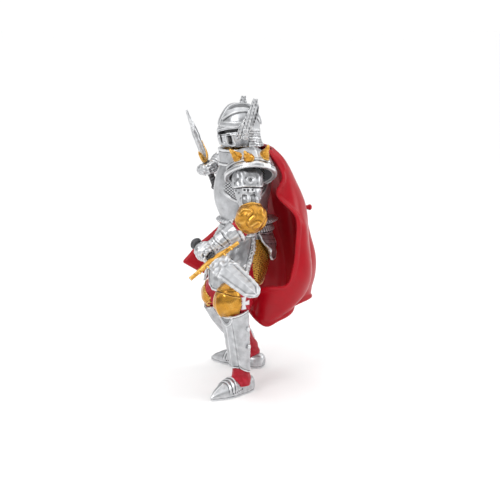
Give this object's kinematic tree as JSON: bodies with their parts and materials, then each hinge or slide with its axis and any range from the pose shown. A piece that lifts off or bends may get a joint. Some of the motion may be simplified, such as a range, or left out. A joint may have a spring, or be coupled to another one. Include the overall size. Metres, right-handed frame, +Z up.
{
  "type": "toy figure",
  "caption": "Standing toy knight with a winged helmet, a moulded cape and two swords; the head, arms and swords swivel.",
  "frame": {"origin": "on the floor under the middle of the figure's box", "axes": "+Z up from the soles to the wing tips, -Y the way the knight faces, +X towards its left hand"},
  "size_m": [0.0764, 0.0474, 0.0956],
  "materials": {
    "silver_paint": "pearl silver paint on PVC with a dark wash in the recesses, satin",
    "blade_paint": "plain light silver paint on PVC, satin",
    "gold_paint": "gold paint on PVC with a brown wash, gloss on the high points",
    "red_plastic": "moulded red PVC, satin gloss",
    "red_cloth_paint": "red painted cloth folds on PVC, satin",
    "dark_paint": "dark wash over PVC, matt",
    "black_paint": "black paint on PVC, satin"
  },
  "bodies": {
    "figure": {"cuirass": "silver_paint", "waist_belt": "silver_paint", "gorget": "silver_paint", "mail_collar": "gold_paint", "left_pauldron": "silver_paint", "right_pauldron": "silver_paint", "left_pauldron_spikes": "gold_paint", "right_pauldron_spikes": "gold_paint", "cape_stud": "red_plastic", "cape": "red_plastic", "left_front_tasset": "silver_paint", "right_front_tasset": "silver_paint", "left_side_tasset": "silver_paint", "right_side_tasset": "silver_paint", "left_rear_tasset": "silver_paint", "right_rear_tasset": "silver_paint", "mail_skirt": "gold_paint", "hip_block": "dark_paint", "left_sabaton": "silver_paint", "right_sabaton": "silver_paint", "left_thigh": "red_cloth_paint", "right_thigh": "red_cloth_paint", "left_calf": "red_cloth_paint", "right_calf": "red_cloth_paint", "left_knee_cop": "gold_paint", "right_knee_cop": "gold_paint", "left_greave": "silver_paint", "right_greave": "silver_paint", "left_greave_clasps": "silver_paint", "right_greave_clasps": "silver_paint"},
    "head": {"head_core": "black_paint", "helmet_skull": "silver_paint", "visor": "silver_paint", "comb": "silver_paint", "brow_band": "silver_paint", "neck_guard": "silver_paint", "left_wing": "silver_paint", "right_wing": "silver_paint", "wing_bosses": "silver_paint"},
    "left_arm": {"left_upper_arm": "silver_paint", "left_sleeve": "red_cloth_paint", "left_elbow_cop": "gold_paint", "left_gauntlet_cuff": "silver_paint", "left_fist": "silver_paint"},
    "right_arm": {"right_upper_arm": "silver_paint", "right_sleeve": "red_cloth_paint", "right_elbow_cop": "gold_paint", "right_gauntlet_cuff": "silver_paint", "right_fist": "silver_paint"},
    "left_sword": {"left_sword_guard": "gold_paint", "left_sword_blade": "blade_paint", "left_sword_grip": "black_paint"},
    "right_sword": {"right_sword_guard": "gold_paint", "right_sword_blade": "blade_paint", "right_sword_grip": "black_paint"}
  },
  "joints": [
    {"name": "head_turn", "type": "hinge", "parent": "figure", "child": "head", "pos_m": [-0.00492, -0.00047, 0.076], "axis": [0, 0, 1], "range_deg": [-20, 20]},
    {"name": "left_shoulder", "type": "hinge", "parent": "figure", "child": "left_arm", "pos_m": [0.00708, -0.00187, 0.0708], "axis": [-1, 0, 0], "range_deg": [-12, 25]},
    {"name": "right_shoulder", "type": "hinge", "parent": "figure", "child": "right_arm", "pos_m": [-0.01692, 0.00193, 0.0708], "axis": [-1, 0, 0], "range_deg": [-20, 10]},
    {"name": "left_grip_swivel", "type": "hinge", "parent": "left_arm", "child": "left_sword", "pos_m": [0.01698, -0.01517, 0.0475], "axis": [0.8959, 0.3363, -0.2903], "range_deg": [-20, 3]},
    {"name": "right_grip_swivel", "type": "hinge", "parent": "right_arm", "child": "right_sword", "pos_m": [-0.02592, -0.00817, 0.0729], "axis": [-0.075, -0.338, 0.9381], "range_deg": [-20, 15]}
  ]
}
